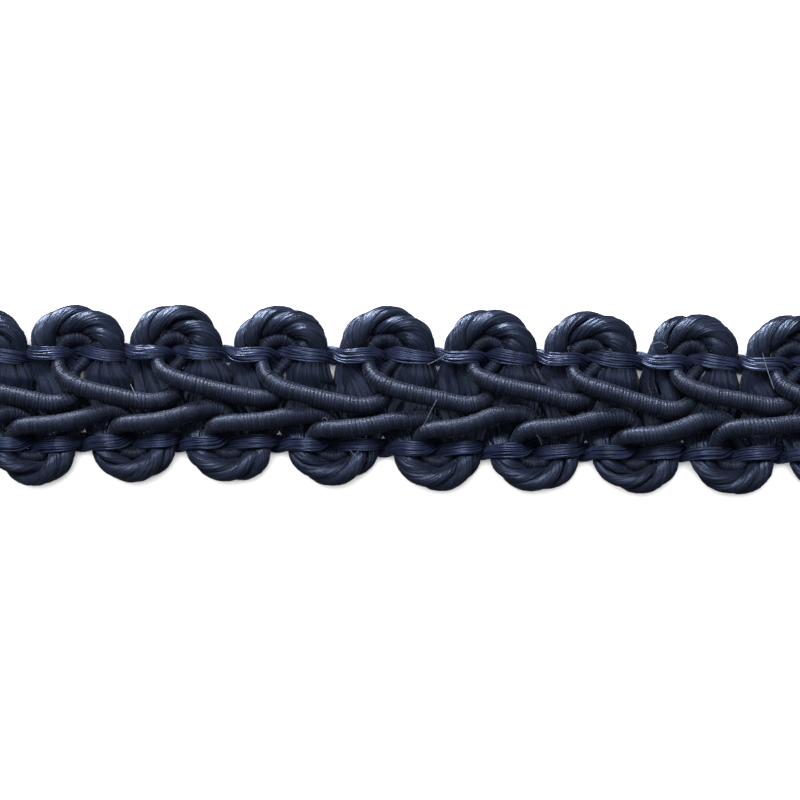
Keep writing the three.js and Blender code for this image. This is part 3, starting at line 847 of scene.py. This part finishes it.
def fibre_finish(name, dark, light, roughness, stretch, bump, sheen, specular, anisotropy=0.0, turned=0.0):
    """Fibre: fine streaks along the strand's own UV map vary colour, gloss and bump.

    The colour goes from dark to light with the streak plus a share of a slow patchiness.
    """
    material, nodes, links, bsdf = shader(
        name, dark, roughness, sheen=sheen, sheen_roughness=0.30, specular=specular, anisotropy=anisotropy)
    bsdf.inputs["Sheen Tint"].default_value = (0.65, 0.75, 1.0, 1)
    bsdf.inputs["Specular Tint"].default_value = (0.50, 0.64, 1.0, 1)
    bsdf.inputs["Anisotropic Rotation"].default_value = turned
    uv = node(nodes, "ShaderNodeUVMap", uv_map=UV_NAME)
    mapping = node(nodes, "ShaderNodeMapping", {"Scale": stretch})
    links.new(uv.outputs["UV"], mapping.inputs["Vector"])
    streak = node(nodes, "ShaderNodeTexNoise", {"Scale": 1.0, "Detail": 3.0, "Roughness": 0.6})
    links.new(mapping.outputs["Vector"], streak.inputs["Vector"])
    place = node(nodes, "ShaderNodeTexCoord")
    patch = node(nodes, "ShaderNodeTexNoise", {"Scale": PATCHES_PER_METRE, "Detail": 2.0})
    links.new(place.outputs["Object"], patch.inputs["Vector"])
    ramp = node(nodes, "ShaderNodeValToRGB")
    for stop, position, colour in zip(ramp.color_ramp.elements, SHADE_STOPS, (dark, light)):
        stop.position = position
        stop.color = (*colour, 1)
    level = maths_node(
        nodes, links, "MULTIPLY_ADD", patch.outputs["Fac"], PATCH_SHARE, streak.outputs["Fac"])
    links.new(level, ramp.inputs["Fac"])
    links.new(ramp.outputs["Color"], bsdf.inputs["Base Color"])
    limits = {"To Min": roughness + GLOSS_RANGE[0], "To Max": roughness + GLOSS_RANGE[1]}
    gloss = node(nodes, "ShaderNodeMapRange", limits)
    links.new(streak.outputs["Fac"], gloss.inputs["Value"])
    links.new(gloss.outputs["Result"], bsdf.inputs["Roughness"])
    raise_grain(nodes, links, bsdf, streak, bump, FIBRE_RELIEF)
    if anisotropy:
        tangent = node(nodes, "ShaderNodeTangent", direction_type="UV_MAP", uv_map=UV_NAME)
        links.new(tangent.outputs["Tangent"], bsdf.inputs["Tangent"])
    return material


def fuzz_finish():
    """Pale fibre ends that stand off the cord."""
    return fibre_finish(
        "pale navy fuzz", dark=(0.015, 0.020, 0.035), light=(0.08, 0.10, 0.15), roughness=0.5,
        stretch=(9.0, 1.0, 1.0), bump=0.0, sheen=0.0, specular=0.3)


def stray_finish():
    """Grey fibres that lie loose on the braid."""
    return fibre_finish(
        "pale stray fibre", dark=(0.08, 0.09, 0.11), light=(0.17, 0.18, 0.21), roughness=0.5,
        stretch=(3.0, 1.0, 1.0), bump=0.0, sheen=0.3, specular=0.4)


def floss_finish():
    """Silky plies, with the gloss stretched across their fibres."""
    return fibre_finish(
        "silky navy floss", dark=(0.002, 0.0028, 0.006), light=(0.013, 0.017, 0.034), roughness=0.27,
        stretch=(0.5, 34.0, 1.0), bump=1.0, sheen=0.05, specular=0.60, anisotropy=0.8, turned=0.25)


def filament_finish():
    """Filaments of the bundles, brighter and bluer than the rest."""
    return fibre_finish(
        "bright blue navy filament", dark=(0.003, 0.0038, 0.010), light=(0.020, 0.026, 0.060),
        roughness=0.28, stretch=(0.8, 3.0, 1.0), bump=0.7, sheen=0.0, specular=0.54,
        anisotropy=0.75, turned=0.25)


def build_strands():
    """The seven strands on their routes, settled against one another and set about the braid's middle."""
    gimp_upper = gimp_strand(UPPER_EYES, (), UPPER_GIMP, UPPER_GIMP_TAIL, UPPER_SIZE)
    gimp_lower = gimp_strand(LOWER_EYES, LOWER_GIMP_LEAD, LOWER_GIMP, (), LOWER_SIZE)
    rope = rope_strand()
    warps = {
        "warp_upper_a": warp_strand(UPPER_EYES, WARP_OVER_LEFT, UPPER_SIZE),
        "warp_upper_b": warp_strand(UPPER_EYES, WARP_OVER_RIGHT, UPPER_SIZE),
        "warp_lower_a": warp_strand(LOWER_EYES, WARP_OVER_LEFT, LOWER_SIZE),
        "warp_lower_b": warp_strand(LOWER_EYES, WARP_OVER_RIGHT, LOWER_SIZE),
    }
    every = [rope, gimp_upper, gimp_lower, *warps.values()]
    settle(every)
    for one in every:
        one["at"] = one["at"] - np.array([*MIDDLE, 0.0])
    return rope, {"gimp_upper": gimp_upper, "gimp_lower": gimp_lower}, warps


def dress(piece, node_name):
    """Attaches a piece to the root body, which it moves with, and hides the solid that it stands for."""
    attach(piece, "root")
    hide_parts(node_name)
    return piece


def dressed_braid(rng):
    """Every piece of the braid, in the order in which their random values are drawn."""
    rope, gimps, warps = build_strands()
    thread = wrap_finish()
    fuzz = fuzz_finish()
    filament = filament_finish()
    pieces = []
    for node_name, one in gimps.items():
        pieces.append(dress(wrapped_cord(f"{node_name}_wrapped", one, thread, rng), node_name))
        pieces.append(dress(cord_fuzz(f"{node_name}_fuzz", one, fuzz, rng), node_name))
    pieces.append(dress(stray_fibres(stray_finish()), "gimp_upper"))
    for ply in rope_plies(smooth_path(rope, PLY_STEP), floss_finish(), rng):
        pieces.append(dress(ply, "floss_weft"))
    for node_name, one in warps.items():
        pieces.append(dress(warp_bundle(f"{node_name}_filaments", one, filament, rng), node_name))
    return pieces


def floor():
    """A plain pale floor just under the braid, which throws no light back on it."""
    reach = FLOOR_REACH * MM
    corners = [(-reach, -reach, 0), (reach, -reach, 0), (reach, reach, 0), (-reach, reach, 0)]
    mesh = bpy.data.meshes.new("floor")
    mesh.from_pydata(corners, [], [(0, 1, 2, 3)])
    plane = bpy.data.objects.new("floor", mesh)
    bpy.context.scene.collection.objects.link(plane)
    material, *_ = shader("pale paper", (0.9, 0.9, 0.9), roughness=0.8, specular=0.2)
    mesh.materials.append(material)
    plane.location.z = FLOOR_LEVEL * MM
    plane.visible_diffuse = False
    plane.visible_glossy = False
    return plane


def area_light(name, at, size, power):
    """A rectangular lamp that faces the braid's middle."""
    data = bpy.data.lights.new(name, "AREA")
    data.shape = "RECTANGLE"
    data.size, data.size_y = size
    data.energy = power
    lamp = bpy.data.objects.new(name, data)
    lamp.location = at
    facing = Vector((0, 0, 0)) - Vector(at)
    lamp.rotation_euler = facing.to_track_quat("-Z", "Y").to_euler()
    bpy.context.scene.collection.objects.link(lamp)
    return lamp


def light_only(name, lamps, lit):
    """Lamps light the objects in a collection of their own, and nothing else."""
    collection = bpy.data.collections.new(name)
    for one in lit:
        collection.objects.link(one)
    for lamp in lamps:
        lamp.light_linking.receiver_collection = collection


def studio(plane, pieces):
    """Dim sky, five lamps, and colours shown as they are."""
    scene = bpy.context.scene
    scene.world = bpy.data.worlds.new("studio")
    scene.world.use_nodes = True
    sky = scene.world.node_tree.nodes["Background"]
    sky.inputs["Color"].default_value = (0.95, 0.97, 1.0, 1)
    sky.inputs["Strength"].default_value = WORLD_STRENGTH
    area_light("overhead", *OVERHEAD)
    low = area_light("low_key", *LOW_KEY)
    high = area_light("high_key", *HIGH_KEY)
    soft = area_light("soft_key", *SOFT_KEY)
    soft.visible_glossy = False
    light_only("lit_by_keys", (low, high, soft), pieces)
    wash = area_light("floor_lamp", *FLOOR_LAMP)
    light_only("lit_by_floor_lamp", (wash,), (plane,))
    scene.view_settings.view_transform = "Standard"
    scene.view_settings.look = "None"
    scene.view_settings.exposure = 0.0
    scene.view_settings.gamma = 1.0


def camera():
    """Straight above the braid, the photograph's top towards +Y."""
    data = bpy.data.cameras.new("camera")
    data.lens = LENS
    data.sensor_width = SENSOR
    data.clip_start = CLIP_START
    view = bpy.data.objects.new("camera", data)
    height = VIEW_WIDTH * LENS / SENSOR + VIEW_LEVEL
    view.location = (-MIDDLE[0] * MM, -MIDDLE[1] * MM, height * MM)
    bpy.context.scene.collection.objects.link(view)
    bpy.context.scene.camera = view


braid = dressed_braid(RNG)
studio(floor(), braid)
camera()
